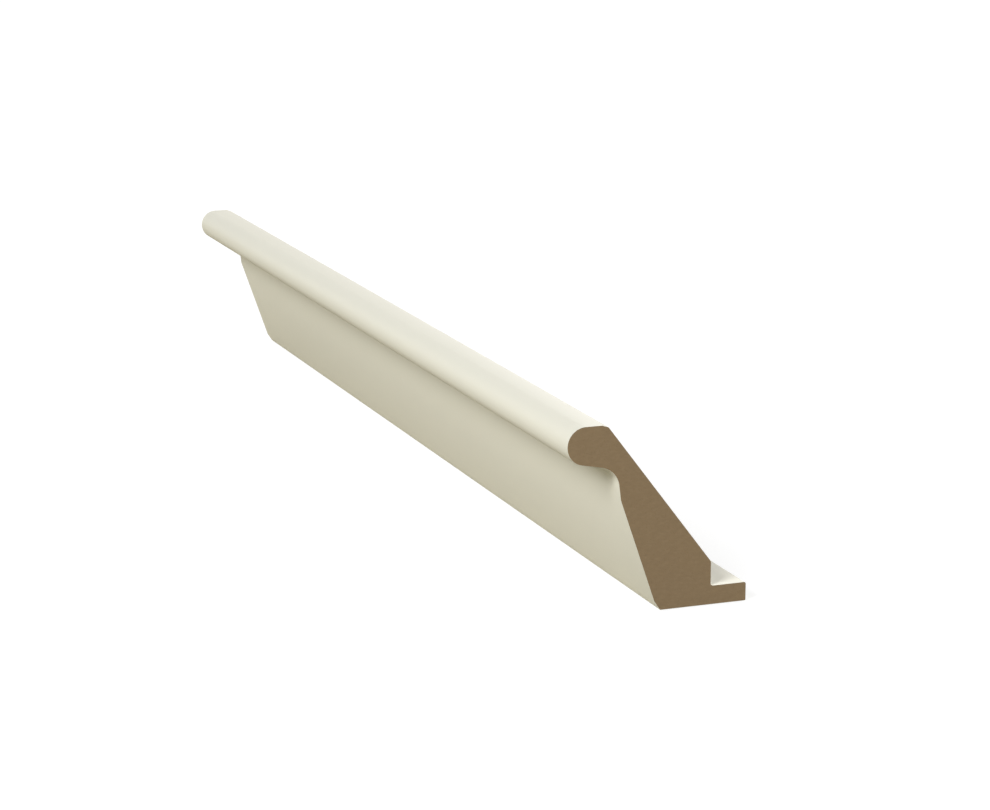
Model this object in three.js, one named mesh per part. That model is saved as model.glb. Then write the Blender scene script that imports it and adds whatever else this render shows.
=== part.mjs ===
// A straight length of kitchen-cabinet crown moulding: one strip of fibreboard, machined to a profile and
// painted, then cut square at both ends. From the top down its front has a bullnose, a soffit that falls back
// into a cove, a sloping face and a small chamfer. Behind, a sloping back runs down to a rebate with a flat
// lip, through which the strip is screwed down onto the cabinet.
//
// Frame, in millimetres: +X along the strip, -Y towards the room, +Z up. The origin is at the middle of the
// seat, which is the flat underside that rests on the cabinet.

import * as THREE from "three";

// Driving dimensions, in millimetres.
const LENGTH = 430;
const HEIGHT = 60;
const PROJECTION = 60; // from the bullnose's nose to the back of the lip
const SEAT_WIDTH = 29;

const LIP_DEPTH = 12;
const LIP_THICKNESS = 6;
const LIP_EDGE_RADIUS = 0.7;
const REBATE_FILLET = 0.8;
const REBATE_TOP = 13.8; // height of the rebate wall's upper edge

const BULLNOSE_RADIUS = 6;
const TOP_BEVEL_WIDTH = 2; // of the slight bevel along the top's back edge
const TOP_BEVEL_DROP = 0.7;
const COVE_RADIUS = 7;

const FACE_TOP = 36; // height of the crease between the cove's tail and the sloping face
const CHAMFER_RISE = 3;
const CHAMFER_SETBACK = 2;

// Driving angles.
const SPRING_ANGLE = THREE.MathUtils.degToRad(37.3); // of the sloping back, from the vertical
const FACE_LEAN = THREE.MathUtils.degToRad(19.1); // of the sloping face, from the vertical
const TAIL_LEAN = THREE.MathUtils.degToRad(7.4); // of the cove's tail, from the vertical
const SOFFIT_FALL = THREE.MathUtils.degToRad(11); // of the soffit, from the level, towards the back

const QUARTER_TURN = Math.PI / 2;
const ARC_SEGMENTS = 8; // three.js draws each arc with twice as many chords

const PAINT = new THREE.MeshStandardMaterial({ color: 0xe2dfd0, roughness: 0.5, metalness: 0 });

// The point at a distance from another, in a direction given as an angle from the shape's x axis.
function pointAt(origin, angle, distance) {
  return new THREE.Vector2(Math.cos(angle), Math.sin(angle)).multiplyScalar(distance).add(origin);
}

// Where two lines cross, each given by a point on it and the angle of its direction.
function crossing(pointA, angleA, pointB, angleB) {
  const along = new THREE.Vector2(Math.cos(angleA), Math.sin(angleA));
  const other = new THREE.Vector2(Math.cos(angleB), Math.sin(angleB));
  const distance = pointB.clone().sub(pointA).cross(other) / along.cross(other);
  return pointAt(pointA, angleA, distance);
}

// The strip's cross-section, drawn anticlockwise from the seat's front edge: shape x is the part's Y, and
// shape y is the part's Z.
function profile() {
  const seatBack = SEAT_WIDTH / 2;
  const seatFront = -seatBack;
  const rebateWall = seatBack - LIP_DEPTH;
  const shape = new THREE.Shape();

  // Seat, then the lip and the rebate above it.
  shape.moveTo(seatFront, 0);
  shape.lineTo(seatBack, 0);
  shape.absarc(
    seatBack - LIP_EDGE_RADIUS,
    LIP_THICKNESS - LIP_EDGE_RADIUS,
    LIP_EDGE_RADIUS,
    0,
    QUARTER_TURN,
    false,
  );
  shape.absarc(
    rebateWall + REBATE_FILLET,
    LIP_THICKNESS + REBATE_FILLET,
    REBATE_FILLET,
    -QUARTER_TURN,
    -2 * QUARTER_TURN,
    true,
  );
  shape.lineTo(rebateWall, REBATE_TOP);

  // Sloping back, up to the bevel along the back of the top.
  const backTop = HEIGHT - TOP_BEVEL_DROP;
  const backEdge = rebateWall - (backTop - REBATE_TOP) * Math.tan(SPRING_ANGLE);
  shape.lineTo(backEdge, backTop);
  shape.lineTo(backEdge - TOP_BEVEL_WIDTH, HEIGHT);

  // Bullnose, round to where the soffit leaves it. The soffit and the tail each face out at an angle.
  const bullnose = new THREE.Vector2(seatBack - PROJECTION + BULLNOSE_RADIUS, HEIGHT - BULLNOSE_RADIUS);
  const soffitFaces = 3 * QUARTER_TURN - SOFFIT_FALL;
  const tailFaces = 2 * QUARTER_TURN + TAIL_LEAN;
  shape.absarc(bullnose.x, bullnose.y, BULLNOSE_RADIUS, QUARTER_TURN, soffitFaces, false);

  // Cove, an arc that touches both the soffit and the tail, centred a radius in front of each.
  const chamferTop = new THREE.Vector2(seatFront - CHAMFER_SETBACK, CHAMFER_RISE);
  const crease = new THREE.Vector2(chamferTop.x - (FACE_TOP - CHAMFER_RISE) * Math.tan(FACE_LEAN), FACE_TOP);
  const beforeSoffit = pointAt(bullnose, soffitFaces, BULLNOSE_RADIUS + COVE_RADIUS);
  const beforeTail = pointAt(crease, tailFaces, COVE_RADIUS);
  const cove = crossing(beforeSoffit, soffitFaces + QUARTER_TURN, beforeTail, tailFaces + QUARTER_TURN);
  shape.absarc(cove.x, cove.y, COVE_RADIUS, soffitFaces - Math.PI, tailFaces - Math.PI, true);

  // Tail, sloping face and chamfer. The chamfer closes the outline at the seat's front edge.
  shape.lineTo(crease.x, crease.y);
  shape.lineTo(chamferTop.x, chamferTop.y);
  return shape;
}

// The strip: the cross-section carried along the length, half to each side of the origin.
function mouldingStrip() {
  const geometry = new THREE.ExtrudeGeometry(profile(), {
    depth: LENGTH,
    steps: 1,
    curveSegments: ARC_SEGMENTS,
    bevelEnabled: false,
  });
  const strip = new THREE.Mesh(geometry, PAINT);
  strip.name = "crown_moulding_length";
  const acrossStrip = new THREE.Vector3(0, 1, 0);
  const upStrip = new THREE.Vector3(0, 0, 1);
  const alongStrip = new THREE.Vector3(1, 0, 0);
  strip.quaternion.setFromRotationMatrix(new THREE.Matrix4().makeBasis(acrossStrip, upStrip, alongStrip));
  strip.position.x = -LENGTH / 2;
  return strip;
}

const part = new THREE.Group();
part.add(mouldingStrip());

export default part;
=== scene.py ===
"""The looks of a crown moulding length: a painted fibreboard strip with square-cut ends, on a pale floor.

The file is laid out as an add-on and run as a script. Sizes are in metres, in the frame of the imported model:
+X along the strip, -Y towards the room, +Z up, with the origin at the middle of the seat.
"""

import math

import bpy
import numpy as np
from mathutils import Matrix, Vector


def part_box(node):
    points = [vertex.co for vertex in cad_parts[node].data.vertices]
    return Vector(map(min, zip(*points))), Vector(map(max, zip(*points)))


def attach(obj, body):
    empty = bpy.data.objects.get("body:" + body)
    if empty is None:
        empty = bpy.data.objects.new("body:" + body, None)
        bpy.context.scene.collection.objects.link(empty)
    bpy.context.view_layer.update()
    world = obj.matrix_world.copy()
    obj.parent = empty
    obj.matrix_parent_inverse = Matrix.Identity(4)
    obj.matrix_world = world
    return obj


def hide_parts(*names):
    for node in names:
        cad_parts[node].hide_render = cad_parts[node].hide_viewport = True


bl_info = {
    "name": "Crown Moulding Length",
    "version": (1, 0, 0),
    "blender": (4, 5, 0),
    "location": "3D View > Sidebar > Moulding",
    "description": "Makes a painted crown moulding strip with square-cut ends, and a stage to show it on",
    "category": "Add Mesh",
}

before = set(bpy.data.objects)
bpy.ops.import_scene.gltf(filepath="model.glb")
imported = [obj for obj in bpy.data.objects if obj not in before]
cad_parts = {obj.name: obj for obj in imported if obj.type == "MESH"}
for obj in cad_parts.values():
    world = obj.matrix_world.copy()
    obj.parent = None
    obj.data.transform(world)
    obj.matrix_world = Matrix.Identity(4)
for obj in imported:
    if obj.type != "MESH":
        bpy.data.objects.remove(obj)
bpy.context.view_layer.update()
NODE = "crown_moulding_length"
BODY = "root"

CAD_LOW, CAD_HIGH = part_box(NODE)
MM = 0.001


def distance(name, description, default):
    """A property that holds a length in metres."""
    return bpy.props.FloatProperty(
        name=name,
        description=description,
        default=default,
        min=0.0,
        precision=5,
        subtype="DISTANCE",
        unit="LENGTH",
    )


def angle(name, description, degrees):
    """A property that holds an angle, given in degrees and kept in radians."""
    return bpy.props.FloatProperty(
        name=name, description=description, default=math.radians(degrees), subtype="ANGLE", unit="ROTATION"
    )


def bearing(name, description, azimuth, elevation):
    """A property that holds a direction: its turn from +X towards +Y, and its rise from the level."""
    default = (math.radians(azimuth), math.radians(elevation))
    return bpy.props.FloatVectorProperty(
        name=name, description=description, default=default, size=2, unit="ROTATION"
    )


def colour(name, description, default):
    """A property that holds a linear colour."""
    return bpy.props.FloatVectorProperty(
        name=name, description=description, default=default, size=3, min=0.0, max=1.0, subtype="COLOR"
    )


def share(name, description, default):
    """A property that holds a share between 0 and 1."""
    return bpy.props.FloatProperty(
        name=name, description=description, default=default, min=0.0, max=1.0, subtype="FACTOR"
    )


def number(name, description, default):
    """A property that holds a plain number."""
    return bpy.props.FloatProperty(name=name, description=description, default=default, min=0.0)


class MouldingSizes(bpy.types.PropertyGroup):
    """The strip's section and length."""

    length: distance("Length", "From one cut end to the other", CAD_HIGH.x - CAD_LOW.x)
    height: distance("Height", "From the seat to the flat top", CAD_HIGH.z - CAD_LOW.z)
    projection: distance("Projection", "From the bullnose's nose to the back of the lip", 60 * MM)
    seat_width: distance("Seat Width", "Depth of the flat underside", 2 * CAD_HIGH.y)
    lip_depth: distance("Lip Depth", "From the rebate's wall to the back of the lip", 12 * MM)
    lip_thickness: distance("Lip Thickness", "Height of the lip that the screws go through", 6 * MM)
    rebate_top: distance("Rebate Top", "Height of the rebate wall's upper edge", 13.8 * MM)
    bullnose_radius: distance("Bullnose Radius", "Radius of the round nose", 6 * MM)
    cove_radius: distance("Cove Radius", "Radius of the hollow under the nose", 7 * MM)
    top_bevel_width: distance("Top Bevel Width", "Depth of the bevel along the top's back edge", 2 * MM)
    top_bevel_drop: distance("Top Bevel Drop", "Height of that bevel", 0.7 * MM)
    face_top: distance("Face Top", "Height of the crease above the sloping face", 36 * MM)
    chamfer_rise: distance("Chamfer Rise", "Height of the chamfer at the seat's front", 3 * MM)
    chamfer_setback: distance("Chamfer Setback", "Depth of the chamfer at the seat's front", 2 * MM)
    spring_angle: angle("Spring Angle", "Lean of the sloping back from the vertical", 37.3)
    face_lean: angle("Face Lean", "Lean of the sloping face from the vertical", 19.1)
    tail_lean: angle("Tail Lean", "Lean of the cove's tail from the vertical", 7.4)
    soffit_fall: angle("Soffit Fall", "Fall of the soffit towards the back", 11)
    lip_edge_radius: distance("Lip Edge Radius", "Rounds the lip's upper back edge", 0.7 * MM)
    rebate_fillet: distance("Rebate Fillet", "Rounds the foot of the rebate's wall", 0.8 * MM)
    painted_arris: distance("Painted Arris", "Radius that the paint gives an edge", 0.3 * MM)
    shallow_turn: angle("Shallow Turn", "Corners that turn by less than this are shaded smooth", 22)
    film: distance("Paint Film", "Width of the paint's edge round a cut end", 0.05 * MM)


class MouldingFinish(bpy.types.PropertyGroup):
    """The colours and textures of the paint and of the bare board."""

    paint: colour("Paint", "Colour of the paint", (0.70, 0.675, 0.565))
    paint_pale: colour("Paint Pale", "Colour of the paint where the coat is fuller", (0.72, 0.696, 0.587))
    paint_roughness: share("Paint Roughness", "How matt the paint is", 0.45)
    paint_shine: share("Paint Shine", "How strongly the paint reflects head on", 0.3)
    peel_size: distance("Peel Size", "Size of the ripples that spraying leaves", 1.4 * MM)
    peel_height: distance("Peel Height", "Height of those ripples", 0.006 * MM)
    board: colour("Board", "Colour of the bare board", (0.298, 0.212, 0.122))
    board_pale: colour("Board Pale", "Colour of the board's loose fibres", (0.334, 0.24, 0.141))
    board_dark: colour("Board Dark", "Colour of the board's dark specks", (0.249, 0.174, 0.098))
    board_roughness: share("Board Roughness", "How matt the bare board is", 0.85)
    fibre_size: distance("Fibre Size", "Length of a fibre bundle in the board", 0.8 * MM)
    fibre_height: distance("Fibre Height", "How far the fibres stand out of the cut", 0.03 * MM)
    saw_pitch: distance("Saw Pitch", "Distance between the saw's marks", 1.5 * MM)
    saw_radius: distance("Saw Radius", "Radius of the blade that cut the ends", 125 * MM)


class MouldingStage(bpy.types.PropertyGroup):
    """The floor, the lights and the camera."""

    floor: colour("Floor", "Colour of the floor", (0.30, 0.30, 0.30))
    floor_glow: colour("Floor Glow", "Light that the floor shows of its own", (0.8, 0.8, 0.8))
    floor_radius: distance("Floor Radius", "Reach of the floor from the strip", 30.0)
    card: colour("Card", "Colour of the dull card that bounces light up at the strip", (0.26, 0.24, 0.17))
    card_glow: colour("Card Glow", "Light that the card gives of its own", (0.216, 0.2, 0.158))
    key_bearing: bearing("Key Bearing", "Where the main light comes from", 304.0, 32.0)
    key_reach: distance("Key Reach", "How far away the main light is", 3.5)
    key_spread: angle("Key Spread", "Width of the main light, seen from the strip", 25.0)
    key_strength: number("Key Strength", "Strength of the main light on the strip", 3.86)
    key_tint: colour("Key Tint", "Colour of the main light", (0.93, 0.95, 0.99))
    back_bearing: bearing("Back Bearing", "Where the light from behind comes from", 135.0, 30.0)
    back_reach: distance("Back Reach", "How far away the light from behind is", 6.0)
    back_spread: angle("Back Spread", "Width of the light from behind, seen from the strip", 30.0)
    back_strength: number("Back Strength", "Strength of the light from behind on the strip", 2.65)
    back_tint: colour("Back Tint", "Colour of the light from behind", (1.0, 0.99, 0.965))
    camera_azimuth: angle("Camera Azimuth", "Turn of the view about the vertical", 69.534)
    camera_elevation: angle("Camera Elevation", "Tilt of the view down from the level", 13.1954)
    camera_lens: bpy.props.FloatProperty(
        name="Camera Lens", description="Focal length", default=102.173, min=1.0, unit="CAMERA"
    )
    camera_place: bpy.props.FloatVectorProperty(
        name="Camera Place",
        description="Where the camera stands",
        default=(0.971644, -0.351016, 0.258496),
        size=3,
        subtype="TRANSLATION",
        unit="LENGTH",
    )


class Strand:
    """An output socket in a node tree, to build on.

    Plus, minus and times, between a strand and a strand or number, each add a Math node. node() adds any
    other node, and gives one of its outputs as a new strand.
    """

    def __init__(self, tree, socket=None):
        self.tree = tree
        self.socket = socket

    def node(self, kind, settings=None, sockets=None, output=0):
        """Adds a node: first its settings, then the values or links of its sockets."""
        made = self.tree.nodes.new(kind)
        for name, value in (settings or {}).items():
            setattr(made, name, value)
        for name, value in (sockets or {}).items():
            if isinstance(value, Strand):
                self.tree.links.new(value.socket, made.inputs[name])
            else:
                made.inputs[name].default_value = value
        return Strand(self.tree, made.outputs[output] if made.outputs else None)

    def math(self, operation, first, second=0.0):
        """Adds a Math node on two values."""
        return self.node("ShaderNodeMath", {"operation": operation}, {0: first, 1: second})

    def __add__(self, other):
        return self.math("ADD", self, other)

    __radd__ = __add__

    def __sub__(self, other):
        return self.math("SUBTRACT", self, other)

    def __rsub__(self, other):
        return self.math("SUBTRACT", other, self)

    def __mul__(self, other):
        return self.math("MULTIPLY", self, other)

    __rmul__ = __mul__


MIX_FACTOR, MIX_FIRST, MIX_SECOND, MIX_RESULT = 0, 6, 7, 2


def new_material(name):
    """An empty node material, and a strand to start its nodes from."""
    material = bpy.data.materials.new(name)
    material.use_nodes = True
    material.node_tree.nodes.clear()
    return material, Strand(material.node_tree)


def opaque(rgb):
    """A colour socket's value."""
    return (*rgb, 1.0)


def blend_colours(start, factor, first, second):
    """The first colour where the factor is 0, the second where it is 1."""
    return start.node(
        "ShaderNodeMix",
        {"data_type": "RGBA"},
        {MIX_FACTOR: factor, MIX_FIRST: first, MIX_SECOND: second},
        MIX_RESULT,
    )


NOISE_MIDDLE = 0.5
NOISE_ROUGHNESS = 0.55
EVEN = (1.0, 1.0, 1.0)


def noise(start, place, size, detail, stretch=EVEN):
    """Noise about 0.5 whose lumps are about one size across, drawn out along the axes by a stretch."""
    scaled = start.node(
        "ShaderNodeVectorMath",
        {"operation": "MULTIPLY"},
        {0: place, 1: tuple(1.0 / part for part in stretch)},
    )
    return start.node(
        "ShaderNodeTexNoise",
        {},
        {"Vector": scaled, "Scale": 1.0 / size, "Detail": detail, "Roughness": NOISE_ROUGHNESS},
    )


DRIFT_SIZE = 60 * MM
DRIFT_STRETCH = (3.0, 1.0, 1.0)
DRIFT_SHARE = 0.7
MOTTLE_SIZE = 5 * MM
MOTTLE_ROUGHNESS = 0.12
STREAK_SIZE = 0.8 * MM
STREAK_STRETCH = (60.0, 1.0, 1.0)
STREAK_SHARE = 0.25


def paint_material(finish):
    """Satin sprayed paint: a cream that drifts slightly in tone, with faint ripples from the spraying."""
    material, start = new_material("cream_satin_paint")
    place = start.node("ShaderNodeTexCoord", output="Object")
    drift = noise(start, place, DRIFT_SIZE, 2.0, DRIFT_STRETCH)
    mottle = noise(start, place, MOTTLE_SIZE, 3.0)
    ripple = noise(start, place, finish.peel_size, 1.0)
    streak = noise(start, place, STREAK_SIZE, 2.0, STREAK_STRETCH)
    fullness = drift * DRIFT_SHARE + mottle * (1 - DRIFT_SHARE)
    tone = blend_colours(start, fullness, opaque(finish.paint), opaque(finish.paint_pale))
    relief = ripple + streak * STREAK_SHARE
    normal = start.node(
        "ShaderNodeBump", {}, {"Strength": 1.0, "Distance": finish.peel_height, "Height": relief}, "Normal"
    )
    surface = start.node(
        "ShaderNodeBsdfPrincipled",
        {},
        {
            "Base Color": tone,
            "Roughness": finish.paint_roughness + (mottle - NOISE_MIDDLE) * MOTTLE_ROUGHNESS,
            "Specular IOR Level": finish.paint_shine,
            "Normal": normal,
        },
    )
    start.node("ShaderNodeOutputMaterial", {}, {"Surface": surface})
    return material


FIBRE_STRETCH = (1.0, 2.2, 1.0)
SPECK_SHARE = 0.5
CLOUD_SIZE = 14 * MM
AXLE_SETBACK = 60 * MM
AXLE_DROP = 0.8
PALE_RANGE = {"From Min": 0.45, "From Max": 0.75, "To Max": 0.8}
DARK_RANGE = {"From Min": 0.58, "From Max": 0.72, "To Max": 0.7}
SAW_TONE = 0.08
CLOUD_TONE = 0.12
SAW_RELIEF = 0.35
BOARD_SHINE = 0.2


def board_material(finish):
    """Bare sawn fibreboard: matted fibres with pale and dark specks, crossed by the faint arcs of a saw."""
    material, start = new_material("bare_fibreboard")
    place = start.node("ShaderNodeTexCoord", output="Object")
    fibres = noise(start, place, finish.fibre_size, 4.0, FIBRE_STRETCH)
    specks = noise(start, place, SPECK_SHARE * finish.fibre_size, 2.0)
    clouds = noise(start, place, CLOUD_SIZE, 2.0)
    axle = (0.0, AXLE_SETBACK, -AXLE_DROP * finish.saw_radius)
    reach = start.node("ShaderNodeVectorMath", {"operation": "DISTANCE"}, {0: place, 1: axle}, "Value")
    turns = (reach + (clouds - NOISE_MIDDLE) * finish.saw_pitch) * (math.tau / finish.saw_pitch)
    saw = start.math("SINE", turns) * 0.5 + 0.5
    pale = start.node("ShaderNodeMapRange", {}, {"Value": fibres, **PALE_RANGE})
    dark = start.node("ShaderNodeMapRange", {}, {"Value": specks, **DARK_RANGE})
    tone = blend_colours(start, pale, opaque(finish.board), opaque(finish.board_pale))
    tone = blend_colours(start, dark, tone, opaque(finish.board_dark))
    tone = blend_colours(start, saw * SAW_TONE + clouds * CLOUD_TONE, tone, opaque(finish.board_dark))
    relief = fibres + saw * SAW_RELIEF
    normal = start.node(
        "ShaderNodeBump", {}, {"Strength": 1.0, "Distance": finish.fibre_height, "Height": relief}, "Normal"
    )
    surface = start.node(
        "ShaderNodeBsdfPrincipled",
        {},
        {
            "Base Color": tone,
            "Roughness": finish.board_roughness,
            "Specular IOR Level": BOARD_SHINE,
            "Normal": normal,
        },
    )
    start.node("ShaderNodeOutputMaterial", {}, {"Surface": surface})
    return material


def section_corners(sizes):
    """The section's sharp corners as (y, z) rows, anticlockwise from the seat's front, each with a radius.

    Straight lines stand in for every round: the nose's corner is where the top and the soffit would meet
    far in front, and the cove's is where the soffit and the tail would meet.
    """
    seat_back = sizes.seat_width / 2
    seat_front = -seat_back
    wall = seat_back - sizes.lip_depth
    nose_y = seat_back - sizes.projection + sizes.bullnose_radius
    nose_z = sizes.height - sizes.bullnose_radius
    bevel_z = sizes.height - sizes.top_bevel_drop
    bevel_y = wall - (bevel_z - sizes.rebate_top) * math.tan(sizes.spring_angle)
    fall = math.tan(sizes.soffit_fall)
    lean = math.tan(sizes.tail_lean)
    under_z = nose_z - sizes.bullnose_radius / math.cos(sizes.soffit_fall)
    front_y = nose_y - (sizes.height - under_z) / fall
    chamfer_y = seat_front - sizes.chamfer_setback
    crease_y = chamfer_y - (sizes.face_top - sizes.chamfer_rise) * math.tan(sizes.face_lean)
    cove_z = (under_z - fall * (crease_y - nose_y + lean * sizes.face_top)) / (1 - fall * lean)
    cove_y = crease_y - lean * (cove_z - sizes.face_top)
    arris = sizes.painted_arris
    corners = [
        (seat_front, 0.0, arris),
        (seat_back, 0.0, arris),
        (seat_back, sizes.lip_thickness, sizes.lip_edge_radius),
        (wall, sizes.lip_thickness, sizes.rebate_fillet),
        (wall, sizes.rebate_top, arris),
        (bevel_y, bevel_z, arris),
        (bevel_y - sizes.top_bevel_width, sizes.height, arris),
        (front_y, sizes.height, sizes.bullnose_radius),
        (cove_y, cove_z, sizes.cove_radius),
        (crease_y, sizes.face_top, arris),
        (chamfer_y, sizes.chamfer_rise, arris),
    ]
    table = np.array(corners)
    return table[:, :2], table[:, 2]


def rounded_outline(corners, radii, shallow, steps):
    """Points and outward normals round a closed outline whose corners are rounded, as (n, 2) arrays.

    At each corner the outline turns by an angle. An arc of the corner's radius touches both of its sides:
    its ends lie a tangent length, the radius times the tangent of half the turn, from the corner. A point
    on the arc is the arc's centre plus the radius times a normal, which swings evenly through the turn. On
    a hollow corner the turn is negative and the centre lies outside, so the normal points to it.

    A corner that turns by less than the shallow angle gives all of its points one normal, halfway through
    the turn, so that the flats on both sides of it shade smoothly into each other.
    """
    side = np.roll(corners, -1, axis=0) - corners
    side_length = np.linalg.norm(side, axis=1)
    after = side / side_length[:, None]
    before = np.roll(after, 1, axis=0)
    turn = np.arctan2(
        before[:, 0] * after[:, 1] - before[:, 1] * after[:, 0],
        (before * after).sum(axis=1),
    )
    signed = radii * np.sign(turn)
    tangent = radii * np.tan(np.abs(turn) / 2)
    if np.any(tangent + np.roll(tangent, -1) > side_length):
        raise ValueError("a round of the section is too large for the side that it lies on")
    first_normal = np.stack([before[:, 1], -before[:, 0]], axis=1)
    centre = corners - before * tangent[:, None] - first_normal * signed[:, None]
    start = np.arctan2(first_normal[:, 1], first_normal[:, 0])
    swing = start[:, None] + turn[:, None] * np.linspace(0.0, 1.0, steps + 1)[None, :]
    normal = np.stack([np.cos(swing), np.sin(swing)], axis=2)
    points = centre[:, None, :] + signed[:, None, None] * normal
    halfway = start + turn / 2
    mean_normal = np.stack([np.cos(halfway), np.sin(halfway)], axis=1)[:, None, :]
    shading = np.where((np.abs(turn) < shallow)[:, None, None], mean_normal, normal)
    return points.reshape(-1, 2), shading.reshape(-1, 2)


def strip_surface(sizes, steps, spans):
    """The strip's skin as a grid of vertices (stations, points, 3), and the section's shading normals.

    The section is carried along X. At the two end stations it is drawn in by the paint film's width, and the
    next stations stand the same width in from the ends, so the film's edge shows as a narrow bevel.
    """
    points, normals = rounded_outline(*section_corners(sizes), sizes.shallow_turn, steps)
    half = sizes.length / 2
    inner = np.linspace(-half + sizes.film, half - sizes.film, spans + 1)
    along = np.concatenate([[-half], inner, [half]])
    drawn_in = np.zeros(len(along))
    drawn_in[[0, -1]] = sizes.film
    grid = np.empty((len(along), len(points), 3))
    grid[..., 0] = along[:, None]
    grid[..., 1:] = points[None] - drawn_in[:, None, None] * normals[None]
    return grid, normals


def ring_faces(stations, points):
    """The quads between neighbouring stations of a closed section, wound so that they face outwards."""
    row = np.arange(stations - 1)[:, None] * points
    column = np.arange(points)[None, :]
    following = (column + 1) % points
    corners = [row + column, row + following, row + points + following, row + points + column]
    return np.stack(corners, axis=2).reshape(-1, 4)


SKIN_SHARE = 0.56
END_SHARE = 0.42
MAP_MARGIN = 0.01


def strip_map(grid):
    """A flat map of the strip: a (u, v) row for each corner of each face, in strip_mesh's order.

    The skin lies unrolled along the foot of the map: U is the place along the strip, and V the distance
    round the outline, which is cut open at its first point. The two ends lie side by side above it.
    """
    stations, points = grid.shape[:2]
    along = (grid[:, 0, 0] - grid[0, 0, 0]) / np.ptp(grid[:, 0, 0])
    outline = grid[1, :, 1:]
    step = np.linalg.norm(np.roll(outline, -1, axis=0) - outline, axis=1)
    around = np.append(0.0, np.cumsum(step)) / step.sum()
    u = MAP_MARGIN + (1 - 2 * MAP_MARGIN) * along
    v = MAP_MARGIN + (SKIN_SHARE - MAP_MARGIN) * around
    row, column = np.meshgrid(np.arange(stations - 1), np.arange(points), indexing="ij")
    skin_u = np.stack([u[row], u[row], u[row + 1], u[row + 1]], axis=2)
    skin_v = np.stack([v[column], v[column + 1], v[column + 1], v[column]], axis=2)
    skin = np.stack([skin_u, skin_v], axis=3).reshape(-1, 2)
    end = END_SHARE * (outline - outline.min(axis=0)) / np.ptp(outline, axis=0).max()
    first_end = end[::-1] + (MAP_MARGIN, SKIN_SHARE + MAP_MARGIN)
    last_end = end + (0.5 + MAP_MARGIN, SKIN_SHARE + MAP_MARGIN)
    return np.concatenate([skin, first_end, last_end])


PAINT_INDEX, BOARD_INDEX = 0, 1
MAP_NAME = "OFBake"
ARC_STEPS = 24
SPANS = 43


def strip_mesh(name, sizes):
    """The strip's closed mesh: the skin in paint, and one flat many-sided face in bare board at each end.

    The skin's normals are the outline's shading normals, so flats stay flat beside the larger rounds and
    shade smoothly across the shallow corners.
    """
    grid, normals = strip_surface(sizes, ARC_STEPS, SPANS)
    stations, points = grid.shape[:2]
    skin = ring_faces(stations, points)
    first_end = np.arange(points)[::-1]
    last_end = np.arange(points) + (stations - 1) * points
    mesh = bpy.data.meshes.new(name)
    mesh.from_pydata(grid.reshape(-1, 3), [], [*skin.tolist(), first_end.tolist(), last_end.tolist()])
    materials = np.full(len(skin) + 2, PAINT_INDEX, dtype=np.int32)
    materials[-2:] = BOARD_INDEX
    mesh.polygons.foreach_set("material_index", materials)
    mesh.polygons.foreach_set("use_smooth", np.ones(len(materials), dtype=bool))
    facing = np.zeros((skin.size + 2 * points, 3))
    facing[: skin.size, 1:] = normals[skin.reshape(-1) % points]
    facing[skin.size : skin.size + points, 0] = -1.0
    facing[skin.size + points :, 0] = 1.0
    mesh.normals_split_custom_set(facing)
    flat_map = strip_map(grid).reshape(-1).astype(np.float32)
    mesh.uv_layers.new(name=MAP_NAME).uv.foreach_set("vector", flat_map)
    mesh.update()
    if mesh.validate():
        raise RuntimeError(f"{name}: the mesh has faces that can't be kept")
    return mesh


class MOULDING_OT_strip(bpy.types.Operator):
    """Make the painted strip with its square-cut ends"""

    bl_idname = "moulding.make_strip"
    bl_label = "Make Strip"

    def execute(self, context):
        sizes = context.scene.moulding_sizes
        finish = context.scene.moulding_finish
        mesh = strip_mesh("painted_strip", sizes)
        mesh.materials.append(paint_material(finish))
        mesh.materials.append(board_material(finish))
        strip = bpy.data.objects.new("painted_strip", mesh)
        context.scene.collection.objects.link(strip)
        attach(strip, BODY)
        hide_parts(NODE)
        return {"FINISHED"}


WHITE = (1.0, 1.0, 1.0)
FLOOR_DROP = 0.3 * MM
CARD_DROP = 0.6 * MM
SHEET_SIDES = 96
SENSOR_WIDTH = 36.0
VIEW_REACH = 100.0
LAMP_PARTS = ("bearing", "reach", "spread", "strength", "tint")


def round_sheet(name, radius, drop):
    """A flat round sheet: one face on an even ring of points at the radius, a drop below the seat."""
    turn = np.linspace(0.0, math.tau, SHEET_SIDES, endpoint=False)
    ring = np.stack([radius * np.cos(turn), radius * np.sin(turn), np.full_like(turn, -drop)], axis=1)
    mesh = bpy.data.meshes.new(name)
    mesh.from_pydata(ring, [], [list(range(len(ring)))])
    return bpy.data.objects.new(name, mesh)


def matt_material(name, tone, glow):
    """A plain matt surface that gives a little light of its own, its glow."""
    material, start = new_material(name)
    surface = start.node(
        "ShaderNodeBsdfPrincipled",
        {},
        {
            "Base Color": opaque(tone),
            "Roughness": 1.0,
            "Specular IOR Level": 0.0,
            "Emission Color": opaque(glow),
            "Emission Strength": 1.0,
        },
    )
    start.node("ShaderNodeOutputMaterial", {}, {"Surface": surface})
    return material


def soft_lamp(name, direction, reach, spread, strength, tint):
    """A round lamp that faces the strip from a bearing, at a reach from it.

    Its width fills the spread, seen from the strip. Its power is pi times the reach squared for each unit of
    strength, so the same light falls on the strip from any reach.
    """
    lamp = bpy.data.lights.new(name, "AREA")
    lamp.shape = "DISK"
    lamp.size = 2 * reach * math.tan(spread / 2)
    lamp.energy = math.pi * reach**2 * strength
    lamp.color = tint
    holder = bpy.data.objects.new(name, lamp)
    azimuth, elevation = direction
    level = reach * math.cos(elevation)
    holder.location = (level * math.cos(azimuth), level * math.sin(azimuth), reach * math.sin(elevation))
    holder.rotation_euler = (0.0, math.pi / 2 - elevation, azimuth)
    holder.visible_camera = False
    return holder


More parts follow.
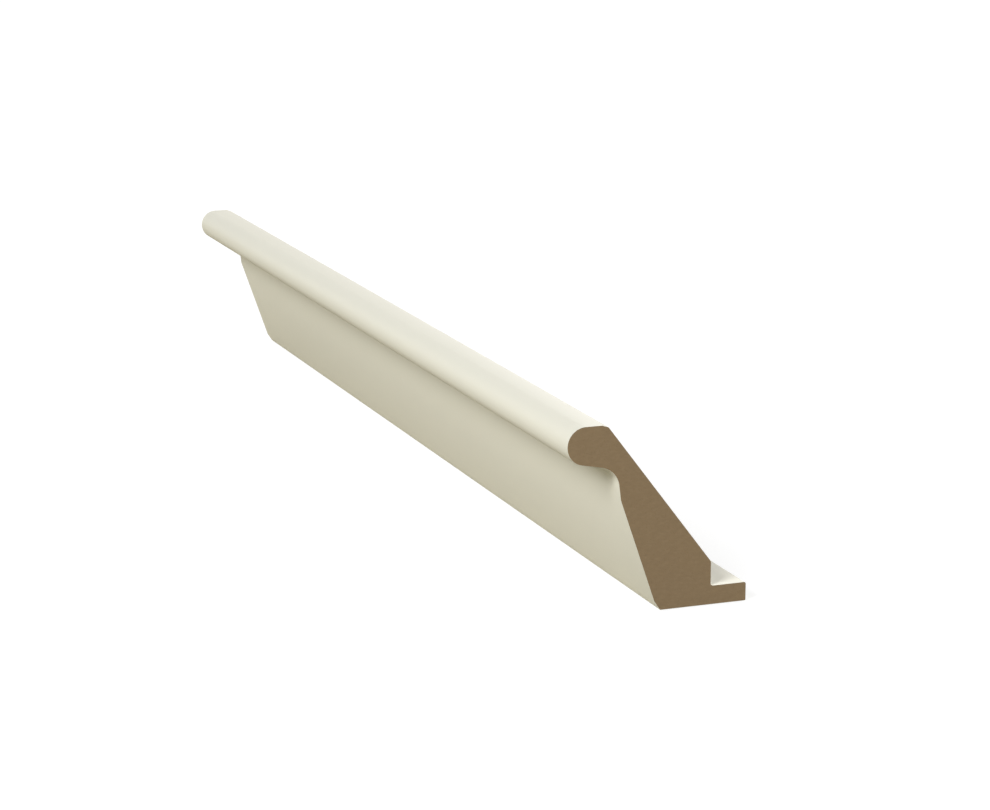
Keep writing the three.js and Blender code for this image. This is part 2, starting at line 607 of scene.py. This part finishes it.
class MOULDING_OT_stage(bpy.types.Operator):
    """Make the floor, the lights and the camera"""

    bl_idname = "moulding.make_stage"
    bl_label = "Make Stage"

    def execute(self, context):
        scene = context.scene
        stage = scene.moulding_stage

        # The camera sees the pale floor, and the strip sees the dull card just below it.
        floor = round_sheet("floor", stage.floor_radius, FLOOR_DROP)
        floor.data.materials.append(matt_material("pale_floor", stage.floor, stage.floor_glow))
        floor.visible_diffuse = False
        floor.visible_glossy = False
        floor.visible_shadow = False
        card = round_sheet("card", stage.floor_radius, CARD_DROP)
        card.data.materials.append(matt_material("dull_card", stage.card, stage.card_glow))
        card.visible_camera = False
        for sheet in (floor, card):
            scene.collection.objects.link(sheet)

        # The camera and the paint's shine see white surroundings, which light nothing themselves.
        world = bpy.data.worlds.new("white_surroundings")
        world.use_nodes = True
        world.node_tree.nodes["Background"].inputs["Color"].default_value = opaque(WHITE)
        scene.world = world
        world.cycles_visibility.diffuse = False

        # Two soft lamps, a main one in front of the strip and one behind it, give the light.
        for lamp in ("key", "back"):
            settings = [getattr(stage, f"{lamp}_{part}") for part in LAMP_PARTS]
            scene.collection.objects.link(soft_lamp(f"{lamp}_light", *settings))

        view = bpy.data.cameras.new("camera")
        view.lens = stage.camera_lens
        view.sensor_width = SENSOR_WIDTH
        view.clip_end = VIEW_REACH
        camera = bpy.data.objects.new("camera", view)
        camera.location = stage.camera_place
        camera.rotation_euler = (math.pi / 2 - stage.camera_elevation, 0.0, stage.camera_azimuth)
        scene.collection.objects.link(camera)
        scene.camera = camera
        scene.view_settings.view_transform = "Standard"
        return {"FINISHED"}


class MOULDING_PT_sidebar(bpy.types.Panel):
    """The moulding's sizes, finish and stage, with a button for each step"""

    bl_idname = "MOULDING_PT_sidebar"
    bl_label = "Crown Moulding"
    bl_space_type = "VIEW_3D"
    bl_region_type = "UI"
    bl_category = "Moulding"

    def draw(self, context):
        scene = context.scene
        parts = [
            (scene.moulding_sizes, MOULDING_OT_strip),
            (scene.moulding_finish, None),
            (scene.moulding_stage, MOULDING_OT_stage),
        ]
        for group, operator in parts:
            box = self.layout.box()
            for name in group.__annotations__:
                box.prop(group, name)
            if operator:
                box.operator(operator.bl_idname)


CLASSES = (
    MouldingSizes,
    MouldingFinish,
    MouldingStage,
    MOULDING_OT_strip,
    MOULDING_OT_stage,
    MOULDING_PT_sidebar,
)


def register():
    for each in CLASSES:
        bpy.utils.register_class(each)
    bpy.types.Scene.moulding_sizes = bpy.props.PointerProperty(type=MouldingSizes)
    bpy.types.Scene.moulding_finish = bpy.props.PointerProperty(type=MouldingFinish)
    bpy.types.Scene.moulding_stage = bpy.props.PointerProperty(type=MouldingStage)


def unregister():
    del bpy.types.Scene.moulding_stage
    del bpy.types.Scene.moulding_finish
    del bpy.types.Scene.moulding_sizes
    for each in reversed(CLASSES):
        bpy.utils.unregister_class(each)


def main():
    register()
    bpy.ops.moulding.make_strip()
    bpy.ops.moulding.make_stage()


if __name__ == "__main__":
    main()
